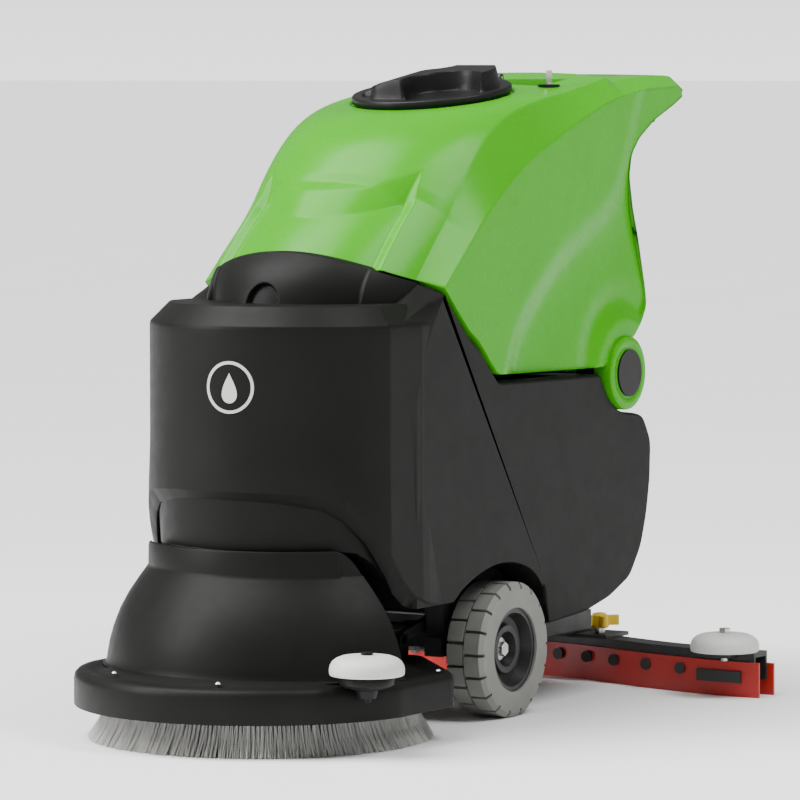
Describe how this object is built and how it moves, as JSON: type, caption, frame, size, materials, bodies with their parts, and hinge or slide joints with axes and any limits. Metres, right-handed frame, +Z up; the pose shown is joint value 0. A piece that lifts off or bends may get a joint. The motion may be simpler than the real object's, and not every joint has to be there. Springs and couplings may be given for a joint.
{
  "type": "wet dry floor scrubber",
  "caption": "Walk-behind wet and dry floor scrubber with a hinged recovery tank, disc brush deck, drive wheels and a curved squeegee.",
  "frame": {"origin": "on the floor, under the centre of the machine's outline", "axes": "+Z up; -Y towards the brush deck at the front; +Y towards the handle and squeegee; +X to the side that carries the key switch"},
  "size_m": [0.858, 1.228, 0.9808],
  "materials": {
    "green_plastic": "glossy moulded polyethylene",
    "dark_plastic": "satin moulded polyethylene",
    "black_plastic": "satin",
    "switch_plastic": "semi gloss",
    "gauge_window": "polished",
    "black_steel": "powder coat",
    "steel": "zinc plated",
    "motor_body": "satin",
    "battery_case": "matte",
    "bristle": "nylon bristle",
    "tyre": "matte",
    "rim": "satin",
    "roller_plastic": "satin",
    "blade_rubber": "satin",
    "stud_plastic": "satin",
    "knob_plastic": "semi gloss",
    "hose_rubber": "matte",
    "seal_rubber": "matte",
    "float_plastic": "matte",
    "caster_tread": "matte"
  },
  "bodies": {
    "machine": {"solution_tank": "dark_plastic", "front_shroud": "dark_plastic", "tank_hinge_shaft": "steel", "batteries": "battery_case", "vacuum_motor": "motor_body", "chassis_frame": "black_steel", "axle": "steel", "frame_pins": "steel", "axle_bolts": "steel", "suction_port": "black_plastic", "suction_hose": "hose_rubber"},
    "recovery_tank": {"recovery_tank": "green_plastic", "pivot_caps": "black_plastic", "control_panel": "black_plastic", "lid_seal": "seal_rubber", "lid_hinge_pin": "steel", "lid_hinge_bracket": "black_steel", "key_switch": "black_plastic", "charge_gauge": "gauge_window", "lever_pins": "steel", "drain_hose": "hose_rubber", "drain_cap": "black_plastic", "float_cage": "float_plastic", "float_ball": "float_plastic"},
    "lid": {"tank_lid": "black_plastic"},
    "key": {"key": "steel"},
    "brush_switch": {"brush_switch": "switch_plastic"},
    "vacuum_switch": {"vacuum_switch": "switch_plastic"},
    "drive_lever": {"drive_lever": "black_plastic"},
    "deck_arms": {"deck_arms": "black_steel"},
    "deck": {"deck_housing": "dark_plastic", "deck_hood": "dark_plastic", "deck_pins": "steel", "deck_screws": "steel", "brush_motor": "motor_body", "deck_roller_pin": "steel"},
    "brush": {"brush_block": "black_plastic", "bristles": "bristle"},
    "deck_roller": {"deck_roller": "roller_plastic"},
    "wheel_right": {"rim_right": "rim", "tyre_right": "tyre"},
    "wheel_left": {"rim_left": "rim", "tyre_left": "tyre"},
    "caster": {"caster_fork": "black_plastic", "caster_pin": "steel"},
    "caster_wheel": {"caster_wheel": "caster_tread"},
    "squeegee": {"squeegee_arms": "black_steel", "squeegee_frame": "black_steel", "front_blade": "blade_rubber", "rear_blade": "blade_rubber", "rear_strap": "steel", "blade_studs": "stud_plastic", "blade_latches": "black_plastic", "squeegee_bolts": "steel"},
    "star_knob_right": {"star_knob_right": "knob_plastic"},
    "star_knob_left": {"star_knob_left": "knob_plastic"},
    "squeegee_roller_right": {"squeegee_roller_right": "roller_plastic"},
    "squeegee_roller_left": {"squeegee_roller_left": "roller_plastic"},
    "pedal": {"deck_pedal": "black_steel"}
  },
  "joints": [
    {"name": "tank_tilt", "type": "hinge", "parent": "machine", "child": "recovery_tank", "pos_m": [0, 0.381, 0.504], "axis": [-1, 0, 0], "range_deg": [0, 72]},
    {"name": "lid_open", "type": "hinge", "parent": "recovery_tank", "child": "lid", "pos_m": [0, 0.2778, 0.9647], "axis": [-1, 0, 0], "range_deg": [0, 100]},
    {"name": "key_turn", "type": "hinge", "parent": "recovery_tank", "child": "key", "pos_m": [0.127, 0.288, 0.95], "axis": [0, 0, 1], "range_deg": [0, 60]},
    {"name": "brush_switch_press", "type": "slide", "parent": "recovery_tank", "child": "brush_switch", "axis": [0, 0, -1], "range_m": [0, 0.0025], "stiffness_N_per_m": 300},
    {"name": "vacuum_switch_press", "type": "slide", "parent": "recovery_tank", "child": "vacuum_switch", "axis": [0, 0, -1], "range_m": [0, 0.0025], "stiffness_N_per_m": 300},
    {"name": "lever_squeeze", "type": "hinge", "parent": "recovery_tank", "child": "drive_lever", "pos_m": [0, 0.486, 0.889], "axis": [1, 0, 0], "range_deg": [0, 8], "stiffness_Nm_per_rad": 4, "springref_deg": -5.73},
    {"name": "deck_lift", "type": "hinge", "parent": "machine", "child": "deck_arms", "pos_m": [0, 0, 0.15], "axis": [-1, 0, 0], "range_deg": [0, 19]},
    {"name": "deck_level", "type": "hinge", "parent": "deck_arms", "child": "deck", "pos_m": [0, -0.115, 0.125], "axis": [-1, 0, 0], "range_deg": [-19, 0]},
    {"name": "brush_spin", "type": "hinge", "parent": "deck", "child": "brush", "pos_m": [0, -0.34, 0.07], "axis": [0, 0, 1], "continuous": true},
    {"name": "deck_roller_spin", "type": "hinge", "parent": "deck", "child": "deck_roller", "pos_m": [0.262, -0.465, 0.13], "axis": [0, 0, 1], "continuous": true},
    {"name": "wheel_right_roll", "type": "hinge", "parent": "machine", "child": "wheel_right", "pos_m": [0.185, 0.032, 0.1027], "axis": [1, 0, 0], "continuous": true},
    {"name": "wheel_left_roll", "type": "hinge", "parent": "machine", "child": "wheel_left", "pos_m": [-0.185, 0.032, 0.1027], "axis": [1, 0, 0], "continuous": true},
    {"name": "caster_swivel", "type": "hinge", "parent": "machine", "child": "caster", "pos_m": [0, 0.35, 0.1], "axis": [0, 0, 1], "continuous": true},
    {"name": "caster_roll", "type": "hinge", "parent": "caster", "child": "caster_wheel", "pos_m": [0, 0.374, 0.038], "axis": [1, 0, 0], "continuous": true},
    {"name": "squeegee_lift", "type": "hinge", "parent": "machine", "child": "squeegee", "pos_m": [0, 0.262, 0.118], "axis": [1, 0, 0], "range_deg": [0, 7], "deforming": ["suction_hose"]},
    {"name": "star_knob_right_turn", "type": "hinge", "parent": "squeegee", "child": "star_knob_right", "pos_m": [0.1, 0.504, 0.095], "axis": [0, 0, 1], "continuous": true},
    {"name": "star_knob_left_turn", "type": "hinge", "parent": "squeegee", "child": "star_knob_left", "pos_m": [-0.1, 0.504, 0.095], "axis": [0, 0, 1], "continuous": true},
    {"name": "squeegee_roller_right_spin", "type": "hinge", "parent": "squeegee", "child": "squeegee_roller_right", "pos_m": [0.37, 0.42, 0.085], "axis": [0, 0, 1], "continuous": true},
    {"name": "squeegee_roller_left_spin", "type": "hinge", "parent": "squeegee", "child": "squeegee_roller_left", "pos_m": [-0.37, 0.42, 0.085], "axis": [0, 0, 1], "continuous": true},
    {"name": "pedal_press", "type": "hinge", "parent": "machine", "child": "pedal", "pos_m": [-0.152, 0.385, 0.111], "axis": [-1, 0, 0], "range_deg": [0, 12]}
  ],
  "couplings": [
    {"joint": "deck_level", "follows": "deck_lift", "ratio": -1},
    {"joint": "pedal_press", "follows": "deck_lift", "ratio": 0.6}
  ]
}
